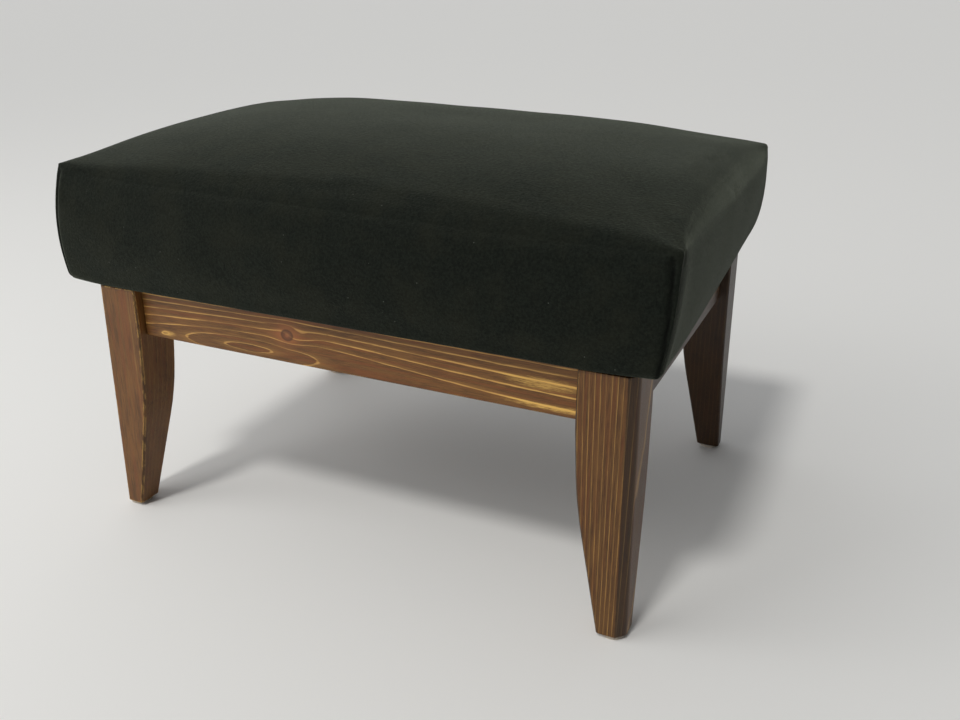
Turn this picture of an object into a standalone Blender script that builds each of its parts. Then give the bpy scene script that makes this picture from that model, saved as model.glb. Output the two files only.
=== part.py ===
"""Kneeling bench: an upholstered seat pad on a low, doweled wooden frame.

Four tapered legs and four aprons make the frame. Dowels join each apron to its legs, and a
screwed block braces each corner. One long screw through each block holds the seat board, and
the board carries foam, wadding, a fabric cover and a dust cover.

The origin is on the floor, under the middle of the pad. +X runs along the pad's long side,
+Y to the back and +Z up.
"""
import math

import bmesh
import bpy
from mathutils import Matrix, Vector

MM = 0.001  # metres in a millimetre; the sizes below are in millimetres

# Driving dimensions
GAP = 0.3  # clearance between two pieces that touch
FRAME_LENGTH = 444.0  # over the legs' outer faces, at the top
FRAME_DEPTH = 338.0
FRAME_SHIFT = 8.0  # the frame's middle lies this far to +X of the pad's middle
FRAME_TOP = 199.0

# Legs
LEG_SECTION = 40.0
FOOT_SECTION = 20.4
FOOT_ROUND = 1.2  # rounding of the foot's lower edges
LEG_BOTTOM = 2.3
LEG_CHAMFER = 6.5  # on the outer corner
CHAMFER_ROUNDINGS = (6.0, 1.0)  # where it meets the side face, and the front or back face
LEG_ARRIS = 1.2  # chamfer on the three other corners
LEG_SPLAY_X = 0.018  # how far the outer faces lean out for each millimetre down
LEG_SPLAY_Y = 0.004
KNEE_HEIGHT = 103.0  # the inner faces taper below it
KNEE_BLEND = 24.0
UPPER_LEAN = 0.060  # slight taper from the apron's lower edge to the knee
LEG_RINGS = 18
ARC_STEPS = 4

# Aprons
APRON_HEIGHT = 39.0
APRON_THICKNESS = 20.0
APRON_SETBACK = 7.5  # behind the legs' outer faces
APRON_ARRIS = 1.0

# Dowels that join an apron to a leg
DOWEL_RADIUS = 4.0
DOWEL_LENGTH = 35.0
DOWEL_IN_LEG = 15.0
DOWEL_HEIGHTS = {"lower": 170.0, "upper": 189.0}
DOWEL_CHAMFER = 0.8

# Corner blocks and their screws
BLOCK_THICKNESS = 20.0
BLOCK_HEIGHT = 34.0
BLOCK_REACH = 86.0  # sum of its two distances from the legs' outer faces, at its near face
BLOCK_ARRIS = 0.8
SCREW_RADIUS = 2.0
SCREW_HEAD_RADIUS = 4.0
SCREW_HEAD_HEIGHT = 2.2
SCREW_TIP = 4.0
RECESS_LENGTH = 4.4
RECESS_WIDTH = 1.1
RECESS_DEPTH = 1.4
BLOCK_SCREW_LENGTH = 30.0
BLOCK_SCREW_OFFSET = 66.0  # from the leg's outer face to the screw's axis
BLOCK_SCREW_TIP = 14.0  # from the leg's outer face to the screw's tip
SEAT_SCREW_LENGTH = 45.0
SEAT_SCREW_SINK = 1.0  # depth of its head in the block
COUNTERBORE_RADIUS = 4.6

# Glides
GLIDE_RADIUS = 9.0
GLIDE_THICKNESS = 2.0
GLIDE_OFFSET = 10.6  # from the foot's outer faces to the glide's middle

# Seat pad: the outer surface of the cover
PAD_BOTTOM = 200.4
PAD_CORNER_TOP = 290.5
PAD_HALF_LENGTHS = (236.0, 248.0, 246.0)  # at the bottom, half way up and at the top edge
PAD_HALF_DEPTHS = (169.5, 172.5, 165.0)
CROWN_OF_ENDS = 13.0  # how far the short top edges rise above the corners
CROWN_OF_FRONT = 8.0
CROWN_OF_MIDDLE = 8.5  # and the middle above all of that
CROWN_POWER = 3.0
LENGTH_LEVELS = (-1.0, -0.86, -0.5, 0.0, 0.5, 0.86, 1.0)  # cage lines along X, of the half length
DEPTH_LEVELS = (-1.0, -0.80, -0.45, 0.0, 0.45, 0.80, 1.0)
HEIGHT_LEVELS = (0.0, 0.06, 0.18, 0.33, 0.50, 0.68, 1.0)
COVER_THICKNESS = 2.0
COVER_FLANGE = 28.0  # turned in under the seat board
WADDING_THICKNESS = 6.0
LAYER_CLEARANCE = 0.4
FOAM_CLEARANCE = 1.4
BOARD_THICKNESS = 12.0
BOARD_HALF_LENGTH = 226.0
BOARD_HALF_DEPTH = 160.0
BOARD_CORNER = 22.0
DUST_THICKNESS = 0.5
DUST_HALF_LENGTH = 222.0
DUST_HALF_DEPTH = 157.0
DUST_CORNER = 12.0

SIDES_X = {"left": -1, "right": 1}
SIDES_Y = {"front": -1, "back": 1}

# Colours are linear RGB
MATERIALS = {
    "stained_pine": ((0.075, 0.028, 0.013), 0.42, 0.0),
    "beech": ((0.52, 0.33, 0.17), 0.6, 0.0),
    "block_pine": ((0.48, 0.31, 0.16), 0.65, 0.0),
    "plywood": ((0.50, 0.34, 0.19), 0.65, 0.0),
    "zinc_steel": ((0.62, 0.62, 0.60), 0.35, 1.0),
    "foam": ((0.80, 0.72, 0.45), 0.95, 0.0),
    "wadding": ((0.82, 0.82, 0.80), 0.95, 0.0),
    "cover_cloth": ((0.012, 0.016, 0.014), 0.95, 0.0),
    "dust_cloth": ((0.010, 0.010, 0.011), 0.9, 0.0),
    "glide_felt": ((0.42, 0.36, 0.29), 0.95, 0.0),
}


def clear_scene():
    """Remove whatever the scene holds."""
    for thing in list(bpy.data.objects):
        bpy.data.objects.remove(thing, do_unlink=True)


def new_collection(name):
    """Return a new collection in the scene."""
    group = bpy.data.collections.new(name)
    bpy.context.scene.collection.children.link(group)
    return group


def material(node_name, kind):
    """Return a Principled material for one node, of one of the kinds above."""
    colour, roughness, metallic = MATERIALS[kind]
    made = bpy.data.materials.new(f"{node_name}_{kind}")
    made.use_nodes = True
    shader = made.node_tree.nodes["Principled BSDF"]
    shader.inputs["Base Color"].default_value = (*colour, 1.0)
    shader.inputs["Roughness"].default_value = roughness
    shader.inputs["Metallic"].default_value = metallic
    return made


def add_object(name, mesh, collection):
    """Link a mesh to the collection as a named object."""
    made = bpy.data.objects.new(name, mesh)
    collection.objects.link(made)
    return made


def add_part(name, mesh, kind):
    """Add one sub-part of the bench, with its own material."""
    part = add_object(name, mesh, parts)
    part.data.materials.append(material(name, kind))
    return part


def mesh_from(bm, name):
    """Turn a bmesh whose units are millimetres into a mesh in metres."""
    bmesh.ops.scale(bm, vec=(MM, MM, MM), verts=bm.verts)
    bmesh.ops.recalc_face_normals(bm, faces=bm.faces)
    mesh = bpy.data.meshes.new(name)
    bm.to_mesh(mesh)
    bm.free()
    return mesh


def box_bmesh(length, depth, height):
    """Return a box centred on the origin, in millimetres."""
    bm = bmesh.new()
    bmesh.ops.create_cube(bm, size=1.0)
    bmesh.ops.scale(bm, vec=(length, depth, height), verts=bm.verts)
    return bm


def plate_mesh(name, half_length, half_depth, thickness, corner):
    """Return a flat plate with round corners in plan."""
    bm = box_bmesh(2 * half_length, 2 * half_depth, thickness)
    upright = [edge for edge in bm.edges if abs(edge.verts[0].co.z - edge.verts[1].co.z) > thickness / 2]
    bmesh.ops.bevel(bm, geom=upright, offset=corner, segments=6, profile=0.5, affect="EDGES")
    return mesh_from(bm, name)


def soften(part, width, segments=2):
    """Round a part's sharp edges."""
    bevel = part.modifiers.new("Softened edges", "BEVEL")
    bevel.width = width * MM
    bevel.segments = segments
    bevel.limit_method = "ANGLE"
    bevel.angle_limit = math.radians(40)


def cut_bores(part, name, bores):
    """Cut round holes in a part. A bore is its two end points on the bench, and a radius."""
    bm = bmesh.new()
    for start, end, radius in bores:
        axis = end - start
        turn = Vector((0, 0, 1)).rotation_difference(axis).to_matrix().to_4x4()
        bmesh.ops.create_cone(
            bm,
            cap_ends=True,
            segments=20,
            radius1=radius,
            radius2=radius,
            depth=axis.length,
            matrix=Matrix.Translation((start + end) / 2) @ turn,
        )
    cutter = add_object(f"{part.name}_{name}", mesh_from(bm, f"{part.name}_{name}"), cutters)
    cutter.hide_render = True
    cutter.display_type = "WIRE"
    boolean = part.modifiers.new(name, "BOOLEAN")
    boolean.operation = "DIFFERENCE"
    boolean.solver = "EXACT"
    boolean.object = cutter


def frame_point(side_x, side_y, from_x, from_y, height):
    """Return the point at two distances in from a leg's outer faces, in millimetres."""
    x = FRAME_SHIFT + side_x * (FRAME_LENGTH / 2 - from_x)
    y = side_y * (FRAME_DEPTH / 2 - from_y)
    return Vector((x, y, height))


def smooth_drop(below, blend):
    """Return a distance below a level, eased from zero over the blend on each side of it."""
    if below < -blend:
        return 0.0
    if below > blend:
        return below
    return (below + blend) ** 2 / (4 * blend)


def leg_widths(height):
    """Return how far a leg's outer faces have splayed at a height, and its widths in X and Y."""
    drop = FRAME_TOP - height
    apron_bottom = FRAME_TOP - APRON_HEIGHT
    lean = UPPER_LEAN * smooth_drop(apron_bottom - height, 4.0)
    foot_lean = UPPER_LEAN * (apron_bottom - LEG_BOTTOM)
    widths = []
    for splay in (LEG_SPLAY_X, LEG_SPLAY_Y):
        total = LEG_SECTION - FOOT_SECTION + splay * (FRAME_TOP - LEG_BOTTOM)
        taper = (total - foot_lean) / (KNEE_HEIGHT - LEG_BOTTOM)
        inner = lean + taper * smooth_drop(KNEE_HEIGHT - height, KNEE_BLEND)
        widths.append(LEG_SECTION - inner + splay * drop)
    return LEG_SPLAY_X * drop, LEG_SPLAY_Y * drop, widths[0], widths[1]


def leg_ring(side_x, side_y, height, inset):
    """Return the outline of a leg at a height: a square with its outer corner taken off."""
    splay_x, splay_y, width_x, width_y = leg_widths(height)
    side_round, front_round = CHAMFER_ROUNDINGS
    side_spot = (side_round, LEG_CHAMFER + side_round * math.tan(math.pi / 8))
    front_spot = (LEG_CHAMFER + front_round * math.tan(math.pi / 8), front_round)
    outline = []
    roundings = ((side_spot, side_round, math.pi), (front_spot, front_round, math.pi * 5 / 4))
    for (x, y), radius, start in roundings:
        for step in range(ARC_STEPS + 1):
            angle = start + math.pi / 4 * step / ARC_STEPS
            outline.append((x + radius * math.cos(angle), y + radius * math.sin(angle)))
    outline += [
        (width_x - LEG_ARRIS, 0.0),
        (width_x, LEG_ARRIS),
        (width_x, width_y - LEG_ARRIS),
        (width_x - LEG_ARRIS, width_y),
        (LEG_ARRIS, width_y),
        (0.0, width_y - LEG_ARRIS),
    ]
    ring = []
    for across, along in outline:
        across = inset + across * (1 - 2 * inset / width_x)
        along = inset + along * (1 - 2 * inset / width_y)
        ring.append(frame_point(side_x, side_y, across - splay_x, along - splay_y, height))
    return ring


def make_leg(name, side_x, side_y):
    """Loft a leg through its outlines, and bore it for the dowels of two aprons."""
    low = LEG_BOTTOM + FOOT_ROUND
    rings = [leg_ring(side_x, side_y, LEG_BOTTOM, FOOT_ROUND)]
    for step in range(LEG_RINGS + 1):
        rings.append(leg_ring(side_x, side_y, low + (FRAME_TOP - low) * step / LEG_RINGS, 0.0))
    bm = bmesh.new()
    loops = [[bm.verts.new(point) for point in ring] for ring in rings]
    for lower, upper in zip(loops, loops[1:]):
        for index in range(len(lower)):
            after = (index + 1) % len(lower)
            bm.faces.new((lower[index], lower[after], upper[after], upper[index]))
    bm.faces.new(loops[0])
    bm.faces.new(loops[-1])
    leg = add_part(name, mesh_from(bm, name), "stained_pine")
    middle = APRON_SETBACK + APRON_THICKNESS / 2
    deep = LEG_SECTION - DOWEL_IN_LEG - GAP
    mouth = LEG_SECTION + 5.0
    bores = []
    for height in DOWEL_HEIGHTS.values():
        for start, end in (((deep, middle), (mouth, middle)), ((middle, deep), (middle, mouth))):
            bores.append(
                (
                    frame_point(side_x, side_y, *start, height),
                    frame_point(side_x, side_y, *end, height),
                    DOWEL_RADIUS + GAP,
                )
            )
    cut_bores(leg, "dowel_bores", bores)


def make_apron(name, side_x, side_y):
    """Make an apron between two legs. One of its two sides is zero: the direction it runs in."""
    runs_in_x = side_x == 0
    length = (FRAME_LENGTH if runs_in_x else FRAME_DEPTH) - 2 * (LEG_SECTION + GAP)
    if runs_in_x:
        bm = box_bmesh(length, APRON_THICKNESS, APRON_HEIGHT)
    else:
        bm = box_bmesh(APRON_THICKNESS, length, APRON_HEIGHT)
    apron = add_part(name, mesh_from(bm, name), "stained_pine")
    soften(apron, APRON_ARRIS)
    middle = APRON_SETBACK + APRON_THICKNESS / 2
    inner_face = APRON_SETBACK + APRON_THICKNESS
    centre_height = FRAME_TOP - APRON_HEIGHT / 2
    centre = Vector((FRAME_SHIFT, 0, centre_height))
    centre.x += side_x * (FRAME_LENGTH / 2 - middle)
    centre.y += side_y * (FRAME_DEPTH / 2 - middle)
    apron.location = centre * MM
    reach = LEG_SECTION - DOWEL_IN_LEG + DOWEL_LENGTH + GAP
    dowel_bores = []
    screw_bores = []
    for end in (-1, 1):
        for height in DOWEL_HEIGHTS.values():
            mouth, bottom = (
                frame_point(end, side_y, distance, middle, height)
                if runs_in_x
                else frame_point(side_x, end, middle, distance, height)
                for distance in (LEG_SECTION - 5.0, reach)
            )
            dowel_bores.append((mouth, bottom, DOWEL_RADIUS + GAP))
        mouth, bottom = (
            frame_point(end, side_y, BLOCK_SCREW_OFFSET, depth, centre_height)
            if runs_in_x
            else frame_point(side_x, end, depth, BLOCK_SCREW_OFFSET, centre_height)
            for depth in (inner_face + 5.0, BLOCK_SCREW_TIP - 0.5)
        )
        screw_bores.append((mouth, bottom, SCREW_RADIUS + GAP))
    cut_bores(apron, "dowel_bores", dowel_bores)
    cut_bores(apron, "screw_bores", screw_bores)


def make_dowel(name, point, along_x):
    """Add a dowel whose middle is at a point, lying along X or Y."""
    bm = bmesh.new()
    bmesh.ops.create_cone(
        bm, cap_ends=True, segments=16, radius1=DOWEL_RADIUS, radius2=DOWEL_RADIUS, depth=DOWEL_LENGTH
    )
    rims = [edge for edge in bm.edges if abs(edge.verts[0].co.z - edge.verts[1].co.z) < 0.1]
    bmesh.ops.bevel(bm, geom=rims, offset=DOWEL_CHAMFER, segments=1, profile=0.5, affect="EDGES")
    dowel = add_part(name, mesh_from(bm, name), "beech")
    dowel.rotation_euler = (0, math.pi / 2, 0) if along_x else (math.pi / 2, 0, 0)
    dowel.location = point * MM


def make_dowels():
    """Add two dowels at each end of each apron."""
    middle = APRON_SETBACK + APRON_THICKNESS / 2
    along = LEG_SECTION - DOWEL_IN_LEG + DOWEL_LENGTH / 2
    for name_y, side_y in SIDES_Y.items():
        for name_x, side_x in SIDES_X.items():
            for level, height in DOWEL_HEIGHTS.items():
                long_point = frame_point(side_x, side_y, along, middle, height)
                make_dowel(f"dowel_{name_y}_apron_{name_x}_{level}", long_point, True)
                short_point = frame_point(side_x, side_y, middle, along, height)
                make_dowel(f"dowel_{name_x}_apron_{name_y}_{level}", short_point, False)


def screw_mesh(length):
    """Return a countersunk screw with a cross recess. Its head's top is at z = 0 and it points up."""
    profile = [
        (0.0, 0.0),
        (SCREW_HEAD_RADIUS, 0.0),
        (SCREW_HEAD_RADIUS, 0.4),
        (SCREW_RADIUS, SCREW_HEAD_HEIGHT),
        (SCREW_RADIUS, length - SCREW_TIP),
        (0.0, length),
    ]
    bm = bmesh.new()
    points = [bm.verts.new((radius * MM, 0, height * MM)) for radius, height in profile]
    for first, second in zip(points, points[1:]):
        bm.edges.new((first, second))
    mesh = bpy.data.meshes.new("screw_profile")
    bm.to_mesh(mesh)
    bm.free()
    blank = add_object("screw_blank", mesh, cutters)
    turned = blank.modifiers.new("Turned", "SCREW")
    turned.axis = "Z"
    turned.steps = 20
    turned.render_steps = 20
    turned.use_merge_vertices = True
    turned.merge_threshold = 0.00001
    turned.use_normal_calculate = True
    slots = []
    for size in ((RECESS_LENGTH, RECESS_WIDTH), (RECESS_WIDTH, RECESS_LENGTH)):
        slot_mesh = mesh_from(box_bmesh(*size, 2 * RECESS_DEPTH), "screw_slot")
        slot = add_object("screw_slot", slot_mesh, cutters)
        slot.hide_render = True
        slot.display_type = "WIRE"
        cut = blank.modifiers.new("Recess", "BOOLEAN")
        cut.operation = "DIFFERENCE"
        cut.solver = "EXACT"
        cut.object = slot
        slots.append(slot)
    evaluated = blank.evaluated_get(bpy.context.evaluated_depsgraph_get())
    made = bpy.data.meshes.new_from_object(evaluated)
    for helper in (blank, *slots):
        bpy.data.objects.remove(helper, do_unlink=True)
    return made


def make_screw(name, head, direction, mesh):
    """Add a screw whose head is at a point and whose tip lies in a direction."""
    screw = add_part(name, mesh.copy(), "zinc_steel")
    screw.rotation_euler = Vector((0, 0, 1)).rotation_difference(direction).to_euler()
    screw.location = head * MM


def make_corner(name, side_x, side_y, block_screw, seat_screw):
    """Add a corner block, the two screws into its aprons and the screw up into the seat board."""
    inner_face = APRON_SETBACK + APRON_THICKNESS + GAP
    near_half = (BLOCK_REACH - 2 * inner_face) / math.sqrt(2)
    far_half = near_half + BLOCK_THICKNESS
    bm = box_bmesh(2.0, BLOCK_THICKNESS, BLOCK_HEIGHT)
    for vert in bm.verts:
        vert.co.x *= far_half if vert.co.y > 0 else near_half
    block = add_part(f"corner_block_{name}", mesh_from(bm, f"corner_block_{name}"), "block_pine")
    soften(block, BLOCK_ARRIS)
    off_corner = (BLOCK_REACH + BLOCK_THICKNESS / math.sqrt(2)) / 2
    top = FRAME_TOP - GAP
    centre = frame_point(side_x, side_y, off_corner, off_corner, top - BLOCK_HEIGHT / 2)
    block.location = centre * MM
    block.rotation_euler = (0, 0, math.atan2(side_x, -side_y))

    screw_height = FRAME_TOP - APRON_HEIGHT / 2
    head = BLOCK_SCREW_TIP + BLOCK_SCREW_LENGTH
    mouth = head + 10.0
    screws = [
        ("long", (BLOCK_SCREW_OFFSET, head), (BLOCK_SCREW_OFFSET, mouth), Vector((0, side_y, 0))),
        ("short", (head, BLOCK_SCREW_OFFSET), (mouth, BLOCK_SCREW_OFFSET), Vector((side_x, 0, 0))),
    ]
    shank_bores = []
    head_bores = []
    for way, head_spot, mouth_spot, direction in screws:
        head_point = frame_point(side_x, side_y, *head_spot, screw_height)
        mouth_point = frame_point(side_x, side_y, *mouth_spot, screw_height)
        make_screw(f"block_screw_{name}_{way}", head_point, direction, block_screw)
        under_head = head_point + direction * (SCREW_HEAD_HEIGHT + GAP)
        head_bores.append((mouth_point, under_head, COUNTERBORE_RADIUS))
        shank_bores.append((head_point, head_point + direction * 2 * BLOCK_THICKNESS, SCREW_RADIUS + GAP))
    up = Vector((0, 0, 1))
    underside = top - BLOCK_HEIGHT
    head_point = frame_point(side_x, side_y, off_corner, off_corner, underside + SEAT_SCREW_SINK)
    make_screw(f"seat_screw_{name}", head_point, up, seat_screw)
    under_head = head_point + up * (SCREW_HEAD_HEIGHT + GAP)
    head_bores.append((head_point - up * 10.0, under_head, COUNTERBORE_RADIUS))
    shank_bores.append((head_point, head_point + up * 2 * BLOCK_HEIGHT, SCREW_RADIUS + GAP))
    cut_bores(block, "shank_bores", shank_bores)
    cut_bores(block, "head_bores", head_bores)


def seat_screw_bores(low, high):
    """Return the bores for the four seat screws between two heights."""
    off_corner = (BLOCK_REACH + BLOCK_THICKNESS / math.sqrt(2)) / 2
    bores = []
    for side_y in SIDES_Y.values():
        for side_x in SIDES_X.values():
            start = frame_point(side_x, side_y, off_corner, off_corner, low)
            end = frame_point(side_x, side_y, off_corner, off_corner, high)
            bores.append((start, end, SCREW_RADIUS + GAP))
    return bores


def make_glide(name, side_x, side_y):
    """Add a round felt glide under a foot."""
    bm = bmesh.new()
    bmesh.ops.create_cone(
        bm, cap_ends=True, segments=32, radius1=GLIDE_RADIUS, radius2=GLIDE_RADIUS, depth=GLIDE_THICKNESS
    )
    glide = add_part(name, mesh_from(bm, name), "glide_felt")
    splay_x, splay_y, *_ = leg_widths(LEG_BOTTOM)
    off_x = GLIDE_OFFSET - splay_x
    off_y = GLIDE_OFFSET - splay_y
    glide.location = frame_point(side_x, side_y, off_x, off_y, GLIDE_THICKNESS / 2) * MM


def through(bottom, middle, top, rise):
    """Return the value, a share of the way up, of the parabola through three values."""
    low = bottom * (1 - rise) * (1 - 2 * rise)
    return low + middle * 4 * rise * (1 - rise) + top * rise * (2 * rise - 1)


def crown(along_x, along_y):
    """Return the height of the pad's top at a place given as shares of its half sizes."""
    fall_x = 1 - abs(along_x) ** CROWN_POWER
    fall_y = 1 - abs(along_y) ** CROWN_POWER
    rise = CROWN_OF_ENDS * fall_y + CROWN_OF_FRONT * fall_x + CROWN_OF_MIDDLE * fall_x * fall_y
    return PAD_CORNER_TOP + rise


def pad_surface(name, inset, low, bottom):
    """Return a soft layer of the pad, some way inside its outer surface, down to a height.

    It is the cage of a box, shaped by the crown and the bulge of the sides. Its bottom is
    "whole", "open", or a "flange" turned in from the sides.
    """
    bm = box_bmesh(2, 2, 2)
    spans = len(HEIGHT_LEVELS) - 1
    bmesh.ops.subdivide_edges(bm, edges=bm.edges[:], cuts=spans - 1, use_grid_fill=True)
    places = {}
    for vert in bm.verts:
        column, row, tier = (round((value + 1) / 2 * spans) for value in vert.co)
        along_x = LENGTH_LEVELS[column]
        along_y = DEPTH_LEVELS[row]
        level = HEIGHT_LEVELS[tier]
        places[vert] = (abs(along_x) == 1.0 or abs(along_y) == 1.0, level == 0.0)
        height = low + level * (crown(along_x, along_y) - inset - low)
        rise = min(1.0, (height - PAD_BOTTOM) / (PAD_CORNER_TOP - PAD_BOTTOM))
        half_length = through(*PAD_HALF_LENGTHS, rise) - inset
        half_depth = through(*PAD_HALF_DEPTHS, rise) - inset
        if bottom == "flange" and level == 0.0:
            if abs(along_x) == LENGTH_LEVELS[-2]:
                along_x = math.copysign(1 - COVER_FLANGE / half_length, along_x)
            if abs(along_y) == DEPTH_LEVELS[-2]:
                along_y = math.copysign(1 - COVER_FLANGE / half_depth, along_y)
        vert.co = (along_x * half_length, along_y * half_depth, height)
    crease = bm.edges.layers.float.new("crease_edge")
    for edge in bm.edges:
        if all(places[vert] == (True, True) for vert in edge.verts):
            edge[crease] = 1.0
    cut_away = []
    for face in bm.faces:
        lies_low = all(places[vert][1] for vert in face.verts)
        meets_side = any(places[vert][0] for vert in face.verts)
        if lies_low and (bottom == "open" or (bottom == "flange" and not meets_side)):
            cut_away.append(face)
    bmesh.ops.delete(bm, geom=cut_away, context="FACES")
    return mesh_from(bm, name)


def add_pad_layer(name, kind, inset, low, bottom, thickness=None):
    """Add a soft layer of the pad: a skin of some thickness, or a solid."""
    layer = add_part(name, pad_surface(name, inset, low, bottom), kind)
    smooth = layer.modifiers.new("Smoothed", "SUBSURF")
    smooth.levels = 1
    smooth.render_levels = 1
    if thickness:
        skin = layer.modifiers.new("Thickness", "SOLIDIFY")
        skin.thickness = thickness * MM
        skin.offset = -1.0


def make_seat():
    """Add the seat board and the layers over and under it."""
    board_low = PAD_BOTTOM + COVER_THICKNESS + GAP
    board_high = board_low + BOARD_THICKNESS
    board_size = (BOARD_HALF_LENGTH, BOARD_HALF_DEPTH, BOARD_THICKNESS, BOARD_CORNER)
    board = add_part("seat_board", plate_mesh("seat_board", *board_size), "plywood")
    board.location.z = (board_low + board_high) / 2 * MM
    soften(board, 1.0)
    tip = FRAME_TOP - GAP - BLOCK_HEIGHT + SEAT_SCREW_SINK + SEAT_SCREW_LENGTH
    cut_bores(board, "screw_bores", seat_screw_bores(board_low - 5.0, tip + 0.5))

    add_pad_layer("seat_cover", "cover_cloth", 0.0, PAD_BOTTOM, "flange", COVER_THICKNESS)
    wadding_inset = COVER_THICKNESS + LAYER_CLEARANCE
    add_pad_layer("seat_wadding", "wadding", wadding_inset, board_low, "open", WADDING_THICKNESS)
    foam_inset = wadding_inset + WADDING_THICKNESS + FOAM_CLEARANCE
    add_pad_layer("seat_foam", "foam", foam_inset, board_high + GAP, "whole")

    dust_low = FRAME_TOP + GAP
    dust_size = (DUST_HALF_LENGTH, DUST_HALF_DEPTH, DUST_THICKNESS, DUST_CORNER)
    dust = add_part("dust_cover", plate_mesh("dust_cover", *dust_size), "dust_cloth")
    dust.location.z = (dust_low + DUST_THICKNESS / 2) * MM
    cut_bores(dust, "screw_bores", seat_screw_bores(dust_low - 5.0, dust_low + 5.0))


def make_frame():
    """Add the legs, aprons, dowels, corner blocks, screws and glides."""
    block_screw = screw_mesh(BLOCK_SCREW_LENGTH)
    seat_screw = screw_mesh(SEAT_SCREW_LENGTH)
    for name_y, side_y in SIDES_Y.items():
        make_apron(f"apron_{name_y}", 0, side_y)
        for name_x, side_x in SIDES_X.items():
            corner = f"{name_y}_{name_x}"
            make_leg(f"leg_{corner}", side_x, side_y)
            make_corner(corner, side_x, side_y, block_screw, seat_screw)
            make_glide(f"glide_{corner}", side_x, side_y)
    for name_x, side_x in SIDES_X.items():
        make_apron(f"apron_{name_x}", side_x, 0)
    make_dowels()


clear_scene()
parts = new_collection("kneeling_bench")
cutters = new_collection("cutters")
make_frame()
make_seat()
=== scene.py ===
import math

import bmesh
import bpy
from mathutils import Matrix, Vector, noise


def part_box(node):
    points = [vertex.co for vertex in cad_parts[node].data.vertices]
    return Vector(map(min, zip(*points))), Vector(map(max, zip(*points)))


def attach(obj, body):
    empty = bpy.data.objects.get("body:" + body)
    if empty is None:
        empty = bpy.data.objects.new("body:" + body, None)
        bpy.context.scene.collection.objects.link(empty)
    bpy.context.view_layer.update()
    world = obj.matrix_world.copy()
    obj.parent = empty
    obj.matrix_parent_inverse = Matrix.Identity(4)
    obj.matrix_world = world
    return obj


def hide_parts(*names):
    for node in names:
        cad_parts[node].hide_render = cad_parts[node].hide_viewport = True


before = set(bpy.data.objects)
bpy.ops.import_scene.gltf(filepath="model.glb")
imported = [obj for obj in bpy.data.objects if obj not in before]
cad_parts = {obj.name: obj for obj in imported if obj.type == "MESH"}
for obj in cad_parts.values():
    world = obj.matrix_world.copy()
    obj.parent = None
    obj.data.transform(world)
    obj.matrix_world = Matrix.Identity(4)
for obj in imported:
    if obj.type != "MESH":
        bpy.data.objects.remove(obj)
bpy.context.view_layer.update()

MM = 0.001
BLACK = (0.0, 0.0, 0.0)

# Camera, in metres and degrees, and its lens in millimetres
CAMERA_AT = Vector((0.3618, -0.6961, 0.4321))
CAMERA_YAW = math.radians(24.41)
CAMERA_DIP = math.radians(22.40)
CAMERA_ROLL = math.radians(0.40)
CAMERA_LENS = 35.54
SENSOR_WIDTH = 36.0

# Light
HIGH_LAMP_FROM = Vector((-0.10, -0.545, 0.83))
HIGH_LAMP_STRENGTH = 1.08
HIGH_LAMP_WIDTH = math.radians(9.0)
SIDE_LAMP_AT = Vector((-1.35, -1.25, 0.95))
SIDE_LAMP_POWER = 13.0
SIDE_LAMP_SIZE = 1.4
LAMP_COLOUR = (1.0, 0.99, 0.96)
SKY_COLOUR = (0.98, 0.99, 1.0, 1)
SKY_STRENGTH = (0.76, 0.08)  # from the left and from the right
SKY_FADE = (-0.8, 0.8)  # the X of the directions where its fade starts and ends
FLOOR_SIZE = 60.0
FLOOR_COLOUR = (0.86, 0.855, 0.84, 1)

# Pad, measured from the floor and from the pad's middle
PAD_LOW = 200.3 * MM
CORNER_TOP = 290.5 * MM
PAD_HALF_X = (237.0 * MM, 246.5 * MM, 247.0 * MM)  # at the bottom, half way up and at the top
PAD_HALF_Y = (172.0 * MM, 172.9 * MM, 165.0 * MM)
CROWN_OF_ENDS = 12.3 * MM  # rise of the two end edges' middles above the corners
CROWN_OF_BACK = 7.4 * MM  # rise of the back edge's middle
CROWN_OF_MIDDLE = 8.5 * MM
CROWN_SKEW = 0.32  # how much more of it lies to the left
CROWN_POWER = 3.4
FRONT_POWER = 2.2  # the same for the half in front, which falls more evenly
FRONT_RIGHT_SINK = 9.0 * MM
PEAKS = {(-1, -1): 6.5 * MM, (1, -1): 1.5 * MM, (1, 1): 5.5 * MM, (-1, 1): 5.5 * MM}  # the corners'
PEAK_POWER = 9
TILT_ALONG = -0.7 * MM
TILT_ACROSS = 2.8 * MM
TWIST = -2.6 * MM
TOP_ROLL = (3.0 * MM, 15.0 * MM)  # radius of the top edges, at the corners and in the middle
TOP_ROLL_POWER = 4.0
UPRIGHT_ROLL = (4.0 * MM, 15.0 * MM)  # radius of the upright edges, at the bottom and at the top
BOTTOM_ROLL = (1.5 * MM, 8.0 * MM)  # radius of the bottom edges, along them and at the corners
BOTTOM_ROLL_POWER = 14
PAD_COLUMNS = (108, 0.8)  # how many squares, and how much they crowd towards the edges
PAD_ROWS = (78, 0.8)
PAD_TIERS = (24, 0.5)

# Pad filling: how the cloth swells
HELD_BAND = 8.0 * MM
HELD_CORNER = 0.985  # share of the half sizes beyond which the corner seams hold the cloth
SWELL_ROOM = 0.5 * MM
SWELL_PRESSURE = 3.0
SWELL_FRAMES = 20
SWELL_CAP = 1.6 * MM
SWELL_CLOTH = {
    "quality": 6,
    "mass": 0.25,
    "tension_stiffness": 25,
    "compression_stiffness": 20,
    "shear_stiffness": 10,
    "bending_stiffness": 6,
}
EASE_ROUNDS = 8

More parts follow.
